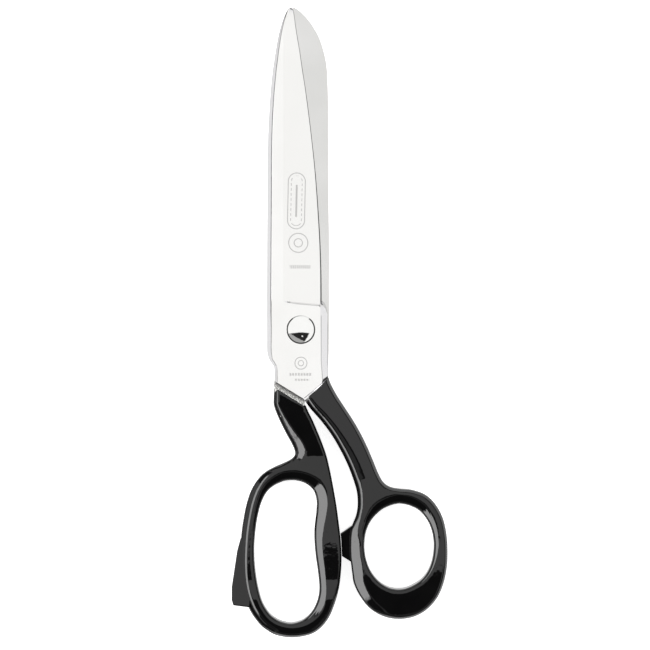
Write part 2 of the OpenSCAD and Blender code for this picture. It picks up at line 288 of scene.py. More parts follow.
def makeHandle(name, bow, topTable, underTable):
    # a ring ruled from the outline to the opening and a shank strip ruled between its two sides, each
    # once as the top and once as the underside, closed by walls; heights come from handleHeight
    outlinePoints = bow["left"] + bow["ring"] + bow["right"]
    a, b = len(bow["left"]) - 1, len(bow["left"]) + len(bow["ring"])
    tAll = spacedParameters(outlinePoints, handles["step"])
    outline = curveAt(outlinePoints, tAll)
    iA, iB = np.searchsorted(tAll, a - 1e-9), np.searchsorted(tAll, b - 1e-9)
    pointA, pointB = outline[iA], outline[iB]
    w0 = acrossNodes([np.linalg.norm(pointB - pointA)], edgeSteps, edgeSteps, 16)[0]
    spare = len(bow["opening"]) - (b - a + 1)  # opening points that face the shank
    tRing = np.concatenate([tAll[iA : iB + 1] - a, (b - a) + w0[1:-1] * (spare + 1)])
    ringOut = np.vstack([outline[iA : iB + 1], pointA + (pointB - pointA) * w0[::-1][1:-1, None]])
    ringIn = curveAt(bow["opening"], tRing, closed=True)
    inner = curveAt([(c, 0) for c in bow["bevel"]], tRing, closed=True)[:, 0]
    along = np.gradient(outline, axis=0)
    west = smooth(along[:, 1] / np.linalg.norm(along, axis=1) * -1, 0.15, 0.6)
    table = np.array(bow["shoulder"], float)
    shape = np.stack([np.interp(tAll, table[:, 0], c) for c in table[:, 1:].T], 1)
    side = {"line": outline, "west": west, "shape": shape}
    width = np.linalg.norm(ringOut - ringIn, axis=1)
    v = acrossNodes(width, edgeSteps, edgeSteps, 18)[..., None]
    ring = ringOut[:, None] * (1 - v) + ringIn[:, None] * v
    sheets = []
    faces = ((topTable, bow["cap"], 1, "top"), (underTable, bow["under"], -1, "under"))
    for table, capLine, sign, key in faces:
        strip = stripRows(outline, iA, iB, capLine, 90)
        tRingZ = handleHeight(table, ring, side, ringIn, inner)
        tStripZ = handleHeight(table, strip, side, ringIn, inner)
        end = np.linalg.norm(strip - strip[-1:], axis=2)
        tStripZ = tStripZ - bow["capRound"] * slopedDrop(end, [(0.3, 50), (1.0, 24)]) * (end < 4.0)
        ringSheet, stripSheet = lift(ring, sign * tRingZ), lift(strip, sign * tStripZ)
        sheets += [(ringSheet, True, sign < 0), (stripSheet, False, sign > 0)]
        bow[key] = (ringSheet, stripSheet)
    (topRing, topStrip), (lowRing, lowStrip) = bow["top"], bow["under"]
    nA = iB - iA + 1
    sheets += [
        (wall(lowRing[:nA, 0], topRing[:nA, 0]), False, False),
        (wall(topRing[:, -1], lowRing[:, -1]), True, False),
        (wall(topStrip[:, 0], lowStrip[:, 0]), False, False),
        (wall(lowStrip[:, -1], topStrip[:, -1]), False, False),
        (wall(topStrip[-1], lowStrip[-1]), False, False),
    ]
    return makeMesh(name, sheets + bow["extras"])


def block(outline, topHeight, lowHeight, bevel, tilt=0.0):
    # a prism over a convex outline with narrow bevels; tilt lowers its top towards the south, mm per mm
    p = np.asarray(outline, float)
    p = np.concatenate([np.linspace(a, b, 12, endpoint=False) for a, b in zip(p, np.roll(p, -1, 0))])
    mid = p.mean(0)
    r = np.linalg.norm(p - mid, axis=1, keepdims=True)
    rings = []
    steps = [(share, 0) for share in (0.0, 0.5, 0.9, 0.985, 1.0)] + [(1.0, bevel * 0.35), (1.0, bevel)]
    for share, drop in steps:
        pull = bevel if share < 1 or drop == 0 else bevel * (0.35 if drop < bevel else 0)
        q = mid + (p - mid) * (1 - pull / r) * share
        rings.append((q, drop))
    north = p[:, 1].max()
    rows = [lift(q, topHeight - drop - tilt * (north - q[:, 1])) for q, drop in rings]
    rows += [lift(q, drop - lowHeight) for q, drop in rings[::-1]]
    return [(np.stack(rows, 1), True, True)]


# bevel widths round each opening, one per opening point
thumbBow["bevel"] = [3.8, 3.0, 2.2, 1.8, 1.6, 1.5, 1.5, 1.5, 1.4, 1.3, 1.2, 1.1, 1.0, 1.0, 1.0, 1.0, 1.0,
                     1.0, 1.1, 1.4, 1.9, 2.2, 2.4, 2.7, 3.2, 3.8, 4.3, 4.5, 4.5, 4.4, 4.2]
fingerBow["bevel"] = [4.2, 4.0, 3.5, 2.9, 2.2, 1.8, 1.6, 1.5, 1.5, 1.5, 1.5, 1.5, 1.5, 1.4, 1.3, 1.3, 1.3,
                      1.4, 1.9, 2.6, 3.4, 3.8, 3.6, 3.5, 3.6, 3.8, 4.0, 4.6, 5.2, 5.4, 5.2, 4.6, 4.3]
# along each outline, by control point: where, rim width, rim slope, shoulder width, width of the roll
# beyond it, how broad the rim is on sides that face away from west, and the gentle slope past the roll
thumbBow["shoulder"] = [(0, 1.5, 43, 2.3, 0.7, 1.0, 0), (1.5, 1.5, 43, 2.35, 0.9, 1.0, 0.3),
                        (4, 1.5, 43, 2.4, 1.1, 1.0, 1.0), (6.4, 1.5, 43, 2.4, 1.1, 1.0, 2.1),
                        (7.3, 1.5, 43, 2.4, 1.1, 1.0, 2.3), (8.2, 1.4, 43, 2.4, 0.9, 1.0, 0),
                        (10, 1.2, 43, 2.2, 0.5, 1.0, 0), (12, 0.6, 43, 3.6, 0.3, 1.0, 0),
                        (14, 0.4, 43, 5.0, 0.3, 1.0, 0), (18, 0.4, 43, 5.2, 0.3, 1.0, 0),
                        (21, 0.6, 43, 4.2, 0.3, 1.0, 0), (23, 1.2, 43, 2.6, 0.4, 0.8, 0),
                        (26, 1.2, 43, 2.0, 0.4, 0.7, 0), (34, 1.2, 43, 2.0, 0.4, 1.0, 0),
                        (48, 1.2, 43, 2.0, 0.4, 1.0, 0)]
fingerBow["shoulder"] = [(0, 1.6, 37, 2.0, 0.2, 0.6, 0), (3, 1.7, 37, 2.3, 0.2, 0.6, 0),
                         (5, 1.7, 37, 3.6, 0.2, 0.8, 0), (7, 1.6, 38, 5.0, 0.2, 1.0, 0),
                         (8, 1.4, 39, 5.4, 0.2, 1.0, 0), (9.5, 1.4, 38, 3.6, 0.3, 1.0, 0),
                         (12, 1.8, 37, 2.5, 0.4, 1.0, 0), (15, 2.2, 36.5, 3.3, 0.4, 1.0, 0),
                         (22, 2.2, 36.5, 3.3, 0.4, 1.0, 0), (26, 1.8, 38, 2.8, 0.4, 0.8, 0),
                         (28, 1.4, 40, 2.2, 0.4, 0.7, 0), (34, 1.4, 40, 2.2, 0.4, 0.5, 0),
                         (50, 1.4, 40, 2.2, 0.4, 0.45, 0)]
thumbBow["capRound"], fingerBow["capRound"] = 0.35, 1.0
thumbBow["extras"] = block([(24.4, -95.0), (19.12, -98.8), (19.44, -102.0), (19.8, -109.6),
                            (24.8, -112.8), (27.0, -104)], 2.9, 2.9, 0.25, 0.05)
fingerBow["extras"] = block([(-27.2, -101.0), (-29.3, -101.0), (-30.9, -107.0),
                             (-33.5, -124.4), (-33.5, -130.6), (-32.7, -133.2),
                             (-24.9, -134.2), (-24.0, -118.0)], 2.7, 3.2, 0.35, -0.03)
thumbEnamel = makeHandle("thumb_handle_coat", thumbBow, outerHeight, innerHeight)
fingerEnamel = makeHandle("finger_handle_coat", fingerBow, innerHeight, outerHeight)
print("handles ready", len(thumbEnamel.data.polygons), len(fingerEnamel.data.polygons))

# one forging as seen from its own outer face: blade up, back on the left, shank to the lower right
blades = {
    # down the blade, y and then the value there: back bevel, lip at the cutting edge, bevel's slope
    "bevelAt": [[60, 97, 112, 128, 144, 151, 156], [2.4, 2.3, 2.15, 1.9, 1.4, 0.95, 0.25]],
    "lipAt": [[13, 45, 85, 156], [0.6, 0.45, 0.3, 0.18]],
    "steepAt": [[144, 149.5, 152.5, 155.5], [0.72, 0.7, 0.66, 0.5]],
    "tipHeight": 1.5, "bossHeight": 4.8, "gap": 0.05, "hollow": 0.35, "edge": 0.35, "softLine": -8.7,
    "rim": 0.3,
    # y, back, cutting edge
    "thumb": [(156, -5.1, -4.35), (154.9, -6.4, -3.8), (151.5, -8.15, -3.15), (147.2, -9.7, -2.6),
              (141.4, -11.15, -1.7), (135.1, -12.3, -0.6), (130.2, -13.05, 0.1), (125.4, -13.75, 0.8),
              (115.7, -14.75, 2.3), (106, -15.4, 3.6), (96.4, -15.9, 4.8), (86.7, -16.15, 5.9),
              (77, -16.25, 6.9), (67.3, -16.3, 7.7), (57.6, -16.35, 8.4), (43, -16.45, 9.3),
              (28.6, -16.5, 9.8), (20, -16.55, 9.9), (15, -16.6, 9.93)],
    "finger": [(156, 3.3, 4.7), (154.9, 1.3, 4.9), (151.5, -2.3, 5.3), (147.2, -5.6, 5.9),
               (141.4, -8.8, 6.6), (135.1, -10.9, 7.2), (130.2, -12.0, 7.5), (125.4, -12.6, 8.0),
               (115.7, -13.0, 8.8), (106, -13.2, 9.5), (96.4, -13.2, 10.2), (86.7, -13.2, 10.9),
               (77, -13.2, 11.4), (67.3, -13.3, 11.9), (57.6, -13.4, 12.2), (43, -13.6, 12.5),
               (28.6, -13.65, 12.8), (20, -13.6, 12.9), (15, -13.6, 12.9)],
}


def crossRow(left, right, back, side, leftDrop, rightDrop, height):
    # eight ridge points across a flat boss row: edge, bevel and its rim, three on the flat, bevel, edge
    a, b = np.array(left, float), np.array(right, float)
    w = np.linalg.norm(b - a)
    lo, hi = back / w, 1 - side / w
    # the bevel's rim fades out below the pivot
    rim = min(blades["rim"], back * 0.3) * (0.05 + 0.95 * smooth(left[1], -8, 10))
    s = np.concatenate([[0, lo - rim / w], lo + (hi - lo) * np.array([0, 0.3, 0.85, 0.95]), [hi, 1]])
    h = np.array([height - leftDrop, height - min(rim, leftDrop)] + [height] * 5 + [height - rightDrop])
    return np.concatenate([a + (b - a) * s[:, None], h[:, None]], 1)


def sideDrop(a, b, side):
    # drop that keeps the front bevel at one angle although rows cross it aslant
    return 0.57 * side * (b[0] - a[0]) / math.hypot(b[0] - a[0], b[1] - a[1])


def bladeRow(row, inside):
    # eight ridge points across the blade; inside is its hollow inner face
    y, back, edge = row
    w = edge - back
    h = blades["tipHeight"] + (blades["bossHeight"] - blades["tipHeight"]) * (1 - (y - 13) / 143) ** 0.8
    bevel, lip = np.interp(y, *blades["bevelAt"]), np.interp(y, *blades["lipAt"])
    rim = blades["rim"] * (0.05 + 0.95 * smooth(-y, -128, -103))
    soft = max(blades["softLine"], back + 0.3 * w)
    x3 = edge - lip
    x = np.array([back, back + bevel - rim * 0.9, back + bevel, soft, soft + (x3 - soft) * 0.85,
                  soft + (x3 - soft) * 0.95, x3, edge])
    if inside:
        depth = blades["hollow"] * min(1, w / 20)
        t = blades["gap"] + depth * np.array([0.2, 0.6, 0.62, 1, 0.75, 0.35, 0.12, 0])
        x[1] = back + bevel * 0.8
        t[:3] = blades["gap"] + np.array([0.01, 0.08, 0.1]) * bevel
    else:
        low = blades["edge"] + 0.9 * lip
        steep = np.interp(y, *blades["steepAt"])
        t = np.array([h - rim - steep * (bevel - rim * 0.9), h - rim, h, h - 0.03, low + (h - low) * 0.15,
                      low + (h - low) * 0.05, low, blades["edge"]])
    return np.stack([x, np.full(8, float(y)), t], 1)


def heel(back, edge, side):
    # outer face where the grind runs out against the boss, then the boss down to its notch
    h = blades["bossHeight"]
    low, rim = edge - 0.6, blades["rim"]
    rows = [
        [(13.9,), (-8.7, 13.7, h), (6.9, 12.5, 1.55), (low - 0.6, 12.3, 1.15), (low, 12.7, 0.9),
         (edge, 13.0, 0.4)],
        [(13.4,), (-8.7, 13.2, h), (6.9, 11.95, h), (8.3, 11.55, h), (9.2, 10.7, h),
         (max(edge, 10.5) + 0.02, 11.7, h - 0.9)],
        [(11.6,), (-8.7, 11.3, h), (6.9, 10.4, h), (8.4, 10.0, h), (9.4, 9.2, h),
         (max(edge, 11.5) + 0.05, 9.9, h - 1.25)],
        [(8.2,), (-8.7, 8.0, h), (6.9, 7.6, h), (8.5, 7.3, h), (side - 3.6, 6.9, h),
         (side - 0.3, 7.2, h - 1.9)],
    ]
    out = []
    for (y,), *rest in rows:
        start = [(back, y, h - rim - 0.72 * 2.1), (back + 2.1, y, h - rim), (back + 2.4, y, h)]
        out.append(np.array(start + rest, float))
    return out


def thumbForging():
    # rows of ridge points for the outer face and the inner face, from the tip to the stub in the handle
    h, g = blades["bossHeight"], blades["gap"]
    up = [bladeRow(r, False) for r in blades["thumb"]] + heel(-16.55, 9.95, 13.0)
    down = [bladeRow(r, True) for r in blades["thumb"]]
    front = ((13.7, 9.95), (13.2, 11.2), (11.0, 12.3), (7.6, 13))  # y and front edge between blade and boss
    down += [crossRow((-16.55, y), (x, y), 2, 2, 0, 0, g) for y, x in front]
    spots = [  # back edge, front edge, bevel width and drop on the back, bevel width on the front
        ((-16.5, 0), (13, 0), 2.4, 1.7, 3.5), ((-16.5, -9.5), (13, -7), 2.3, 1.65, 3.4),
        ((-16.2, -12.2), (13, -10), 2.15, 1.55, 3.35), ((-15.6, -14.2), (13, -12), 1.9, 1.3, 3.3),
        ((-14.3, -16.2), (13, -14), 1.8, 1.16, 3.25), ((-13.2, -17.8), (13, -15.6), 1.65, 1.11, 3.2),
        ((-12.7, -19.6), (13, -17), 1.35, 1.0, 3.1), ((-12.5, -22), (13, -18.4), 1.2, 0.9, 3.0),
        ((-12.4, -24.9), (13, -19.8), 1.15, 0.85, 2.9), ((-11.3, -25.7), (13, -20.2), 0.1, 0.06, 2.9),
        ((-7, -28.35), (13, -21.4), 0.1, 0.06, 2.85), ((-2.5, -31.1), (13, -22.4), 0.1, 0.06, 2.9),
        ((1.15, -33.3), (13, -23.3), 0.1, 0.06, 3.9),
    ]
    up += [crossRow(a, b, back, side, drop, sideDrop(a, b, side), h) for a, b, back, drop, side in spots]
    down += [crossRow(a, b, 1, 1, 0, 0, g) for a, b, *_ in spots]
    ends = [((1.25, -33.44), (13.03, -23.44), -0.34), ((1.38, -33.6), (13.05, -23.6), 0.08),
            ((1.8, -34.15), (13.1, -24.0), 0.36), ((3.2, -35.6), (13.5, -26.0), 0.2),
            ((5.6, -38.6), (14.2, -27.6), 0.15), ((9.6, -43.0), (16.6, -32.2), 0.1)]
    # the first three are the groove's lip; the rest is the stub inside the enamel, cut well back
    sizes = [(0.4, 3.6, 0.2, 1.8)] * 2 + [(0.4, 3.2, 0.2, 1.8)] + [(2.6, 3.2, 2.5, 2.4)] * 3
    up += [crossRow(a, b, *size, h + d) for (a, b, d), size in zip(ends, sizes)]
    low = [((1.9, -34.2), (13.0, -25.6), -0.6), ((2.6, -35.0), (13.2, -26.2), -1.6),
           ((3.5, -36.0), (13.4, -26.9), -3.0), ((4.4, -37.1), (13.7, -27.7), -4.8),
           ((5.8, -38.8), (14.2, -28.6), -5.3), ((9.6, -43.0), (16.6, -32.2), -5.0)]
    down += [crossRow(a, b, 1, 2, -0.6 if d < -3 else 0, -2.0 if d < -3 else 0, d) for a, b, d in low]
    return up, down


def fingerForging():
    # the same for the other half, seen from its own outer face
    h, g = blades["bossHeight"], blades["gap"]
    up = [bladeRow(r, False) for r in blades["finger"]] + heel(-13.6, 12.9, 13.05)
    down = [bladeRow(r, True) for r in blades["finger"]]
    front = ((13.7, 12.9), (13.2, 12.9), (11.0, 12.9), (7.6, 13))  # y and front edge between blade and boss
    down += [crossRow((-13.6, y), (x, y), 2, 2, 0, 0, g) for y, x in front]
    spots = [
        ((-13.6, 0), (13, 0), 2.4, 1.7, 3.5), ((-13.5, -10), (13, -8), 2.3, 1.6, 3.4),
        ((-13.3, -16), (13, -13), 2.0, 1.4, 3.3), ((-12.6, -20), (13, -17), 1.6, 1.2, 3.2),
        ((-11, -22.8), (13, -19.4), 1.2, 0.9, 3.1), ((-8, -26.2), (13, -21.2), 0.8, 0.6, 3.0),
        ((-5.2, -28.7), (13, -22.2), 0.5, 0.4, 2.9), ((-3.0, -31.0), (13, -22.8), 0.4, 0.3, 2.9),
        ((-2.0, -33.2), (13, -23.2), 0.4, 0.3, 3.0), ((-1.8, -35.0), (13, -23.5), 0.4, 0.3, 3.6),
    ]
    up += [crossRow(a, b, back, side, drop, sideDrop(a, b, side), h) for a, b, back, drop, side in spots]
    ends = [((-1.8, -35.2), (13.02, -23.62), -0.2), ((-1.7, -35.4), (13.03, -23.75), 0.06),
            ((-1.6, -35.9), (13.05, -24.2), 0.42), ((-0.9, -38.0), (12.7, -27.2), 0.25),
            ((0.4, -41.2), (12.7, -32.4), 0.2), ((3.8, -47.6), (10.6, -41.2), 0.15)]
    up += [crossRow(a, b, 0.8, 3.0, 0.7, 2.2, h + d) for a, b, d in ends]
    down += [crossRow(a, b, 1, 1, 0, 0, g) for a, b, *_ in spots[:8]]
    low = [((-1.7, -33.6), (13.0, -24.9), g), ((-1.7, -33.9), (13.0, -25.3), -0.9),
           ((-1.75, -34.5), (13.0, -25.9), -2.6), ((-1.8, -35.4), (13.0, -26.8), -4.4),
           ((-1.7, -36.3), (12.95, -27.7), -5.5), ((-1.2, -37.4), (12.7, -28.7), -5.6),
           ((0.4, -41.2), (12.5, -33.8), -4.9), ((3.8, -47.6), (10.6, -41.2), -4.5)]
    down += [crossRow(a, b, 0.5, 1, 0, -0.4 if d < -3 else 0, d) for a, b, d in low]
    return up, down


def makeForging(name, rows, turned):
    # ridge points are joined by a smooth curve down the blade and by straight lines across it and at
    # the boss; both faces share row and column counts, so their borders can be joined by walls
    up, down = (np.array(r) for r in rows)
    size = np.abs(np.diff(up[:, [0, 3, 7], :2], axis=0)).sum(2).max(1)
    t = steppedThrough(np.clip(np.ceil(size / 1.1), 2, 12).astype(int))
    s = steppedThrough([5, 1, 6, 20, 5, 4, 8])  # steps between neighbouring ridge points
    blade = len(blades["thumb"]) - 1  # rows beyond this are joined by straight lines

    def sheet(table):
        flat = table.reshape(len(table), -1)
        curved, k = curveAt(flat, t), np.clip(np.floor(t).astype(int), 0, len(flat) - 2)
        straight = flat[k] + (flat[k + 1] - flat[k]) * (t - k)[:, None]
        rowsOut = np.where((t < blade)[:, None], curved, straight).reshape(len(t), 8, 3)
        j = np.clip(np.floor(s).astype(int), 0, 6)
        return rowsOut[:, j] + (rowsOut[:, j + 1] - rowsOut[:, j]) * (s - j)[None, :, None]

    top, low = sheet(up), sheet(down)
    sheets = [(top, False, False), (low, False, True), (wall(top[:, 0], low[:, 0]), False, True),
              (wall(low[:, -1], top[:, -1]), False, True), (wall(low[0], top[0]), False, True),
              (wall(top[-1], low[-1]), False, True)]
    turn = np.array([-1, 1, -1]) if turned else np.array([1, 1, 1])
    return makeMesh(name, [(grid * turn + [0, 0, rideZ], wrap, flip) for grid, wrap, flip in sheets], 14)


thumbSteel = makeForging("thumb_forging", thumbForging(), False)
fingerSteel = makeForging("finger_forging", fingerForging(), True)
print("forgings ready", len(thumbSteel.data.polygons), len(fingerSteel.data.polygons))


def lathe(name, profile, steps=96, smoothAngle=30):
    # turns (radius, height) points about the pivot axis; the ends lie on the axis or meet each other
    p = np.asarray(profile, float)
    a = np.linspace(0, 2 * np.pi, steps, endpoint=False)[:, None]
    r, z = p[None, :, 0], p[None, :, 1] + 0 * a
    return makeMesh(name, [(np.stack([r * np.cos(a), r * np.sin(a), z], -1), True, True)], smoothAngle)


def arc(cx, cy, r, a0, a1, n):
    # points on a circle arc, angles in degrees
    a = np.radians(np.linspace(a0, a1, n))
    return list(zip(cx + r * np.cos(a), cy + r * np.sin(a)))


pivot = {"headWidth": 13.9, "headHeight": 2.9, "rim": 1.62, "shank": 6.0, "thread": 5.0, "pitch": 0.8,
         "washerWidth": 12.0, "washerHeight": 0.8, "nutWidth": 10.0, "nutHeight": 3.2}


def screwProfile():
    # dome: circle arc through the rim and the crown; thread: small steps of a saw wave
    top = rideZ + blades["bossHeight"]
    r, rim = pivot["headWidth"] / 2, pivot["rim"]
    sag = pivot["headHeight"] - rim
    big = (r * r + sag * sag) / (2 * sag)
    half = math.degrees(math.asin(r / big))
    dome = arc(0, top + rim + sag - big, big, 90, 90 - half, 40)
    dome = [d for d in dome if d[0] < r - 0.65]
    x, z = dome[-1]
    dome += [(r - 0.06, z - 0.83 * (r - 0.06 - x)), (r, z - 0.83 * (r - x) - 0.1), (r, top + 0.02)]
    bore = [(pivot["shank"] / 2, top + 0.02), (pivot["shank"] / 2, rideZ - blades["bossHeight"] + 0.3)]
    turns = np.arange(pivot["nutHeight"] + pivot["washerHeight"], 0.3, -pivot["pitch"] / 2)
    thread = [(pivot["thread"] / 2 - 0.02 - 0.35 * (k % 2), z) for k, z in enumerate(turns)]  # crest, root
    end = [(pivot["thread"] / 2 - 0.5, 0.0), (0, 0.0)]
    return dome + bore + thread + end


def washerAndNut():
    # washer: a turned ring with broken edges
    nutTop = pivot["nutHeight"]
    inner, outer, z1 = pivot["thread"] / 2, pivot["washerWidth"] / 2, nutTop + pivot["washerHeight"]
    ring = [(inner, nutTop + 0.1), (inner + 0.1, nutTop), (outer - 0.12, nutTop), (outer, nutTop + 0.12),
            (outer, z1 - 0.12), (outer - 0.12, z1), (inner + 0.1, z1), (inner, z1 - 0.1),
            (inner, nutTop + 0.1)]
    washer = lathe("spring_washer", ring[::-1])
    # nut: a hexagon trimmed by a cone, radius the lesser of flat distance / cos and the cone
    a = np.linspace(0, 2 * np.pi, 144, endpoint=False)
    flat = pivot["nutWidth"] / 2 / np.cos((a + np.pi / 6) % (np.pi / 3) - np.pi / 6)
    cone = pivot["nutWidth"] / 2 - 0.02
    rows = [(inner - 0.01 + 0 * a, 0.35), (inner + 0.32 + 0 * a, 0.0), (cone + 0 * a, 0.0)]
    rows += [(np.minimum(flat, cone + 1.8 * z), z) for z in (0.12, 0.24, 0.36, 0.5)]
    rows += [(flat, z) for z in (0.7, 1.4, 2.1, nutTop - 0.1)]
    rows += [(flat - 0.1, nutTop), (inner + 0.1 + 0 * a, nutTop), (inner - 0.01 + 0 * a, nutTop - 0.1)]
    rows.append(rows[0])
    r, z = np.stack([q for q, _ in rows], 1), np.array([q for _, q in rows])[None] + 0 * a[:, None]
    nut = makeMesh("hexagon_nut",
                   [(np.stack([r * np.cos(a)[:, None], r * np.sin(a)[:, None], z], -1), True, False)], 25)
    return washer, nut


screw = lathe("domed_screw", screwProfile(), 144, 12)
washer, nut = washerAndNut()
print("pivot ready", len(screw.data.polygons), len(washer.data.polygons), len(nut.data.polygons))


class Val:
    # a node socket or number that can be used in ordinary arithmetic
    def __init__(self, tree, out):
        self.tree, self.out = tree, out

    def math(self, op, *others):
        return self.tree.add("ShaderNodeMath", {"operation": op}, dict(enumerate((self,) + others)))

    def __add__(self, o):
        return self.math("ADD", o)

    def __sub__(self, o):
        return self.math("SUBTRACT", o)

    def __mul__(self, o):
        return self.math("MULTIPLY", o)

    def __truediv__(self, o):
        return self.math("DIVIDE", o)

    def __pow__(self, o):
        return self.math("POWER", o)

    def __rsub__(self, o):
        # o minus this
        return self.math("MULTIPLY", -1.0) + o

    __radd__, __rmul__ = __add__, __mul__

    def ramp(self, lo, hi):
        # 0 below lo, 1 above hi, smooth between
        sockets = {"Value": self, "From Min": lo, "From Max": hi}
        return self.tree.add("ShaderNodeMapRange", {"interpolation_type": "SMOOTHSTEP"}, sockets)

    def most(self, *others):
        # the largest of this and the others
        value = self
        for other in others:
            value = value.math("MAXIMUM", other)
        return value


class Tree:
    # the nodes of one material or world, with short ways to add to them
    def __init__(self, owner):
        owner.use_nodes = True
        self.nodes, self.links = owner.node_tree.nodes, owner.node_tree.links
        self.nodes.clear()

    def add(self, kind, settings, sockets, output=0):
        # a node from its type, its settings and the values or links of its sockets
        node = self.nodes.new(kind)
        for key, value in settings.items():
            setattr(node, key, value)
        for key, value in sockets.items():
            if isinstance(value, Val):
                self.links.new(value.out, node.inputs[key])
            else:
                node.inputs[key].default_value = value
        return Val(self, node.outputs[output] if node.outputs else None)

    def mix(self, share, a, b):
        # colours a and b mixed by share
        return self.add("ShaderNodeMix", {"data_type": "RGBA"}, {0: share, 6: a, 7: b}, 2)

    def split(self, vector):
        # the three parts of a vector
        node = self.add("ShaderNodeSeparateXYZ", {}, {0: vector}).out.node
        return [Val(self, node.outputs[k]) for k in range(3)]

    def place(self):
        # object coordinates in millimetres from the pivot, as x, y and height above the ride plane
        at = self.add("ShaderNodeTexCoord", {}, {}, "Object")
        at = self.add("ShaderNodeVectorMath", {"operation": "SCALE"}, {0: at, "Scale": 1000.0})
        x, y, z = self.split(at)
        return at, x, y, z - rideZ

    def noise(self, at, scale, detail=2.0, stretch=(1, 1, 1)):
        # noise at the coordinates times stretch
        at = self.add("ShaderNodeVectorMath", {"operation": "MULTIPLY"}, {0: at, 1: stretch})
        return self.add("ShaderNodeTexNoise", {}, {"Vector": at, "Scale": scale, "Detail": detail})

    def bump(self, height, distance):
        # normal from a height, which counts for distance in millimetres
        sockets = {"Height": height, "Distance": distance * mm, "Strength": 1.0}
        return self.add("ShaderNodeBump", {}, sockets)

    def finish(self, sockets):
        # one principled shader on the material's output
        shader = self.add("ShaderNodeBsdfPrincipled", {}, sockets)
        self.add("ShaderNodeOutputMaterial", {}, {"Surface": shader})


def newMaterial(name):
    # an empty material and its tree
    material = bpy.data.materials.new(name)
    return material, Tree(material)


def flatFacing(tree):
    # 1 where the surface looks straight up or down the pivot axis, 0 on its sides
    normal = tree.add("ShaderNodeTexCoord", {}, {}, "Normal")
    return tree.split(normal)[2].math("ABSOLUTE").ramp(0.86, 0.97)


def ringMask(x, y, cx, cy, r, width):
    # 1 on a thin circle
    d = ((x - cx) * (x - cx) + (y - cy) * (y - cy)) ** 0.5
    return 1.0 - (d - r).math("ABSOLUTE").ramp(width * 0.5, width * 0.5 + 0.12)


def stadiumDistance(x, y, cx, cy, half, r, tilt):
    # distance from the outline of a long slot with round ends, turned by tilt
    c, s = math.cos(math.radians(tilt)), math.sin(math.radians(tilt))
    u = (x - cx) * c + (y - cy) * s
    v = (y - cy) * c - (x - cx) * s
    w = (v.math("ABSOLUTE") - half).math("MAXIMUM", 0.0)
    return (u * u + w * w) ** 0.5 - r, u, v


def barMask(x, y, cx, cy, halfWide, halfTall):
    # 1 inside an upright rectangle
    wide = 1.0 - (x - cx).math("ABSOLUTE").ramp(halfWide, halfWide + 0.15)
    return wide * (1.0 - (y - cy).math("ABSOLUTE").ramp(halfTall, halfTall + 0.15))


steelLook = {
    # the bevel colour is painted shade for faces that tilt away from the pivot axis
    "dull": (0.885, 0.88, 0.862, 1), "bright": (0.925, 0.92, 0.905, 1), "bevel": (0.77, 0.765, 0.775, 1),
    # the plunge colour is a painted shadow line at the grinding step, and the edge colour paints shade
    # along the boss edges
    "ground": (0.84, 0.835, 0.815, 1), "plunge": (0.2, 0.2, 0.2, 1), "edge": (0.2, 0.2, 0.205, 1),
    "etched": (0.42, 0.42, 0.41, 1), "pit": (0.2, 0.195, 0.185, 1), "grain": (1.0, 1.0, 0.97, 1),
    # the first two colours here are painted reflection for the greyer inner faces
    "satinDark": (0.665, 0.663, 0.648, 1), "satinLight": (0.725, 0.722, 0.71, 1), "roughness": 0.09,
}
etching = {
    "slot": (-2.2, 62.2, 9.4, 4.1, -1.2),  # centre, half length, end radius, tilt in degrees
    "rings": [(-1.3, 41.9, 4.6, 0.35), (-1.3, 41.9, 2.0, 0.35),  # centre, radius, line width
              (0.0, -16.2, 2.9, 0.28), (0.0, -16.2, 1.3, 0.25)],
    "beads": (-0.4, 30.3, 5.0, 0.75),  # centre, half width, half height
    "rules": [(-0.2, -21.6, 5.2, 0.55), (0.4, -24.2, 3.6, 0.4)],
}


def ornament(x, y):
    # etched slot with a stitch line and a needle, rings, a row of beads and two broken rules
    d, u, v = stadiumDistance(x, y, *etching["slot"])
    frameLine = 1.0 - d.math("ABSOLUTE").ramp(0.16, 0.3)
    stitch = (1.0 - (d + 1.5).math("ABSOLUTE").ramp(0.12, 0.26)) * (v * 2.6).math("SINE").ramp(-0.35, 0.1)
    needle = 1.0 - u.math("ABSOLUTE").ramp(0.35, 0.55)
    needle = needle * (1.0 - v.math("ABSOLUTE").ramp(7.6, 7.9))
    rings = [ringMask(x, y, *ring) for ring in etching["rings"]]
    row = ((x + 0.4) * 3.3).math("SINE").math("ABSOLUTE").ramp(0.35, 0.6)
    beads = barMask(x, y, *etching["beads"]) * row
    upper, lower = (barMask(x, y, *rule) for rule in etching["rules"])
    rules = upper.most(lower) * (x * 4.6).math("SINE").ramp(-0.7, -0.4) * 0.7
    return frameLine.most(stitch, needle, *rings, beads * 0.8, rules)


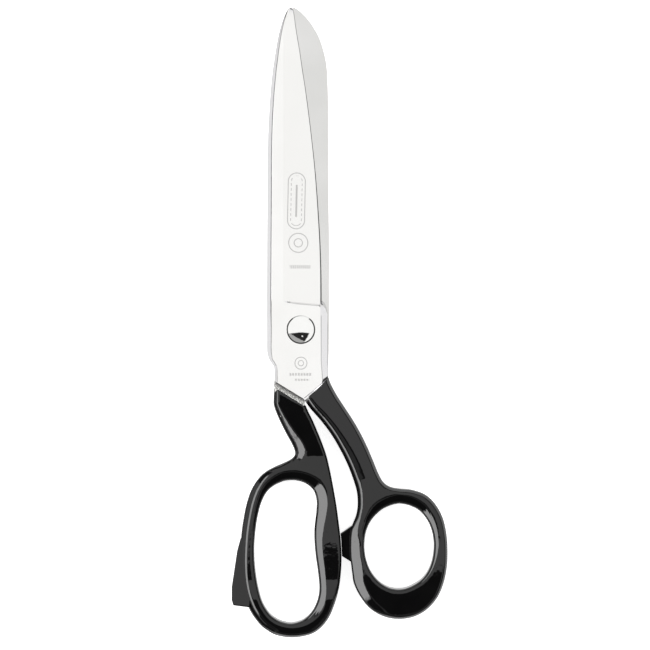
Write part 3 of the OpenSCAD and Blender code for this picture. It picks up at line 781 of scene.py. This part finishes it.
def steelMaterial(name, etched):
    # polished plate: very light, with faint grinding lines across the blade
    material, tree = newMaterial(name)
    at, x, y, t = tree.place()
    flat = flatFacing(tree)
    cloud = tree.noise(at, 0.035, 3.0)
    grind = tree.noise(at, 1.0, 3.0, (0.25, 3.2, 0.25))
    fine = tree.noise(at, 9.0, 2.0)
    colour = tree.mix(cloud.ramp(0.3, 0.7), steelLook["dull"], steelLook["bright"])
    # painted shade: every face that tilts away from the pivot axis, bevels and side walls, takes the darker
    # bevel colour in place of its dimmer reflection
    colour = tree.mix(flat, steelLook["bevel"], colour)
    rough = steelLook["roughness"] + 0.05 * grind + 0.03 * cloud
    height = grind * 0.5 + fine * 0.12
    # the ground face is a shade greyer and ends in a plunge line that slopes across the blade, drawn as a
    # painted shadow line at the grinding step
    fromSoft = x - blades["softLine"]
    ground = fromSoft.ramp(-0.3, 0.5) * (y - 13.3 + 0.085 * fromSoft).ramp(-0.1, 0.2)
    colour = tree.mix(ground * flat * 0.5, colour, steelLook["ground"])
    plunge = 1.0 - (y - 13.0 + 0.085 * fromSoft).math("ABSOLUTE").ramp(0.12, 0.34)
    plunge = plunge * x.ramp(-7.6, -1.0) * (1.0 - x.ramp(9.2, 9.5))
    colour = tree.mix(plunge * 0.5, colour, steelLook["plunge"])
    if etched:
        # painted shade: fine dark lines where the front bevel of the boss meets the flat and the side, in
        # place of the dark reflection of those turned edges
        boss = (7.5 - y).ramp(0.0, 1.5) * (y + 24.5).ramp(0.0, 1.0) * t.math("ABSOLUTE").ramp(2.0, 2.2)
        bend = 9.75 + 0.072 * (0.0 - y - 15.0).math("MAXIMUM", 0.0)
        edgeShadeLines = 1.0 - (x - bend).math("ABSOLUTE").ramp(0.1, 0.24)
        edgeShadeLines = edgeShadeLines.most((x - 12.7).ramp(0.0, 0.12) * 1.2)
        colour = tree.mix(edgeShadeLines * boss * 0.62, colour, steelLook["edge"])
        mark = ornament(x, y) * flat * t.ramp(1.2, 1.4)
        colour = tree.mix(mark * 0.62, colour, steelLook["etched"])
        rough = rough + mark * 0.28
        inner, forged = 1.0 - t.ramp(0.5, 0.6), 1.0 - t.ramp(-0.4, -0.05)
    else:
        inner, forged = t.ramp(-0.6, -0.5), t.ramp(0.05, 0.4)
    # the step between the ride face and the enamel is left rough from forging
    scale = tree.noise(at, 2.1, 3.0)
    skin = tree.mix(scale.ramp(0.43, 0.57), steelLook["pit"], steelLook["grain"])
    colour = tree.mix(forged, colour, skin)
    rough = rough + forged * 0.4
    metal = 1.0 - forged * 0.9
    height = height + forged * scale * 25.0
    # inner faces are painted a little greyer: painted reflection, standing in for the grey surroundings
    # they mirror
    innerShade = tree.mix(cloud.ramp(0.25, 0.75), steelLook["satinDark"], steelLook["satinLight"])
    colour = tree.mix(inner * flat * (1.0 - forged), colour, innerShade)
    normal = tree.bump(height, 0.004)
    tree.finish({"Base Color": colour, "Metallic": metal, "Roughness": rough, "Normal": normal})
    return material


def enamelMaterial(name):
    # thick gloss black: slow waviness from dipping, faint dulling from hands
    material, tree = newMaterial(name)
    at = tree.place()[0]
    wave = tree.noise(at, 0.11, 1.0)
    ripple = tree.noise(at, 0.45, 1.0)
    speck = tree.noise(at, 2.2, 2.0)
    colour = tree.mix(wave, (0.0022, 0.0022, 0.0023, 1), (0.0042, 0.0041, 0.0042, 1))
    rough = 0.035 + 0.03 * speck.ramp(0.5, 0.75)
    normal = tree.bump(wave * 0.8 + ripple * 0.2, 0.10)
    tree.finish({"Base Color": colour, "Roughness": rough, "IOR": 1.5, "Normal": normal})
    return material


def platedMaterial(name, tint, roughness):
    # plated fastener: smooth, with fine turning rings about the pivot axis
    material, tree = newMaterial(name)
    at, x, y, _ = tree.place()
    rings = ((x * x + y * y) ** 0.5 * 9.0).math("SINE")
    cloud = tree.noise(at, 0.4, 2.0)
    colour = tree.mix(cloud, (tint, tint, tint * 0.985, 1), (tint * 0.93, tint * 0.93, tint * 0.91, 1))
    rough = roughness + 0.05 * cloud
    tree.finish({"Base Color": colour, "Metallic": 1.0, "Roughness": rough,
                 "Normal": tree.bump(rings, 0.0006)})
    return material


def setMaterial(obj, material):
    # makes it the piece's only material
    obj.data.materials.clear()
    obj.data.materials.append(material)


setMaterial(thumbSteel, steelMaterial("polished_steel_marked", True))
setMaterial(fingerSteel, steelMaterial("polished_steel_plain", False))
enamel = enamelMaterial("gloss_enamel")
setMaterial(thumbEnamel, enamel)
setMaterial(fingerEnamel, enamel)
setMaterial(screw, platedMaterial("screw_plate", 0.93, 0.03))
fastener = platedMaterial("fastener_plate", 0.78, 0.16)
setMaterial(washer, fastener)
setMaterial(nut, fastener)
print("materials ready")

sky = {
    "dome": 1.05, "horizon": 0.05, "panel": 0.02, "grey": 0.42, "west": 6.5, "lowWest": 1.0, "spot": 1.2,
    # slopes away from overhead between which each field's edge fades
    "domeEnd": (2.15, 2.7), "panelStart": (0.126, 0.138), "panelEast": (0.52, 0.58),
    "panelEnd": (0.95, 1.05),
    "greyStart": (0.55, 0.6), "greyEast": (0.2, 0.28), "southStart": (0.9, 0.95), "southEnd": (2.1, 2.2),
    "gapStart": (0.8, 0.84), "gapEnd": (2.2, 2.3), "boxStart": (0.94, 0.98), "boxEnd": (1.85, 1.95),
    "boxSide": (0.95, 1.1), "lowStart": (2.25, 2.35), "lowWestEnd": (4.4, 5.0), "lowNorthEnd": (5.5, 6.0),
    "spotAt": (0.06, -0.34), "spotSize": (0.0005, 0.002),
}


def makeWorld():
    # brightness by direction, as slopes px and py away from overhead: white dome, dark ring near the
    # horizon, a dark panel south of overhead with a grey one beyond it, bright boxes low in the west
    world = bpy.data.worlds.new("studio")
    bpy.context.scene.world = world
    tree = Tree(world)
    ray = tree.add("ShaderNodeTexCoord", {}, {}, "Generated")
    x, y, z = tree.split(ray)
    up = z.math("MAXIMUM", 0.02)
    px, py = x / up, y / up
    tilt = (px * px + py * py) ** 0.5
    light = sky["horizon"] + (sky["dome"] - sky["horizon"]) * (1.0 - tilt.ramp(*sky["domeEnd"]))
    start = 0.0 - py - 0.13 * px.math("MAXIMUM", 0.0) + 0.14 * px.math("MINIMUM", 0.0)
    panel = start.ramp(*sky["panelStart"]) * (1.0 - (px - 0.49 * py).ramp(*sky["panelEast"]))
    panel = panel * (1.0 - tilt.ramp(*sky["panelEnd"]))
    beyond = (0.0 - py - 0.57 * px).ramp(*sky["greyStart"]) * (1.0 - px.ramp(*sky["greyEast"]))
    light = light + (sky["panel"] + (sky["grey"] - sky["panel"]) * beyond - light) * panel
    south = (0.0 - py - 0.25 * px.math("ABSOLUTE")).ramp(0.0, 0.05)
    south = south * tilt.ramp(*sky["southStart"]) * (1.0 - tilt.ramp(*sky["southEnd"]))
    light = light + (sky["panel"] - light) * south
    spotX, spotY = px - sky["spotAt"][0], py - sky["spotAt"][1]
    spot = 1.0 - (spotX * spotX + spotY * spotY).ramp(*sky["spotSize"])
    light = light + sky["spot"] * spot
    side = 1.0 - (py / px).math("ABSOLUTE").ramp(*sky["boxSide"])
    out = 0.0 - px
    gap = out.ramp(*sky["gapStart"]) * (1.0 - out.ramp(*sky["gapEnd"])) * side
    gap = gap * (1.0 - py.ramp(-0.1, -0.08) * (1.0 - py.ramp(0.15, 0.2)) * (1.0 - out.ramp(1.9, 2.1)))
    light = light + (sky["panel"] - light) * gap
    west = out.ramp(*sky["boxStart"]) * (1.0 - out.ramp(*sky["boxEnd"])) * side
    light = light + (sky["west"] - light) * west
    lowWest = tilt.ramp(*sky["lowStart"]) * (1.0 - tilt.ramp(*sky["lowWestEnd"]))
    lowWest = lowWest * (out + 0.6 * py).ramp(0.0, 0.3) * (out - 1.7 * py).ramp(0.0, 0.4)
    lowNorth = tilt.ramp(*sky["lowStart"]) * (1.0 - tilt.ramp(*sky["lowNorthEnd"]))
    lowNorth = lowNorth * (py - 1.3 * px.math("ABSOLUTE")).ramp(0.0, 0.3)
    low = lowWest.most(lowNorth)
    light = light + (sky["lowWest"] - light) * low
    light = light * z.ramp(-0.02, 0.02)
    back = tree.add("ShaderNodeBackground", {}, {"Color": (1.0, 1.0, 1.0, 1), "Strength": light})
    tree.add("ShaderNodeOutputWorld", {}, {"Surface": back})


makeWorld()


table = {"half": 3000, "drop": 0.4, "shade": 0.9, "roughness": 0.9, "glow": 0.8}


def makeFloor():
    # pale table just under the nut, a flat square, faintly self-lit so that it stays clean white
    k = np.linspace(-1, 1, 3) * table["half"]
    gx, gy = np.meshgrid(k, k, indexing="ij")
    floor = makeMesh("table", [(np.stack([gx, gy, 0 * gx - table["drop"]], -1), False, False)])
    material, tree = newMaterial("table_white")
    shade = table["shade"]
    tree.finish({"Base Color": (shade, shade, shade, 1), "Roughness": table["roughness"],
                 "Emission Color": (1, 1, 1, 1), "Emission Strength": table["glow"]})
    setMaterial(floor, material)


makeFloor()
bpy.context.scene.view_settings.view_transform = "Standard"
print("light ready")

parts = [  # piece, body it moves with, CAD node it stands for, material slot
    (thumbSteel, "thumb_half", "thumb_blade", "polished_steel"),
    (thumbEnamel, "thumb_half", "thumb_handle_enamel", "black_enamel"),
    (fingerSteel, "finger_half", "finger_blade", "polished_steel"),
    (fingerEnamel, "finger_half", "finger_handle_enamel", "black_enamel"),
    (screw, "thumb_half", "pivot_screw", "screw_steel"),
    (washer, "thumb_half", "tension_washer", "fastener_steel"),
    (nut, "thumb_half", "pivot_nut", "fastener_steel"),
]
for piece, body, node, slotName in parts:
    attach(piece, body)
    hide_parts(node)
bpy.context.view_layer.update()
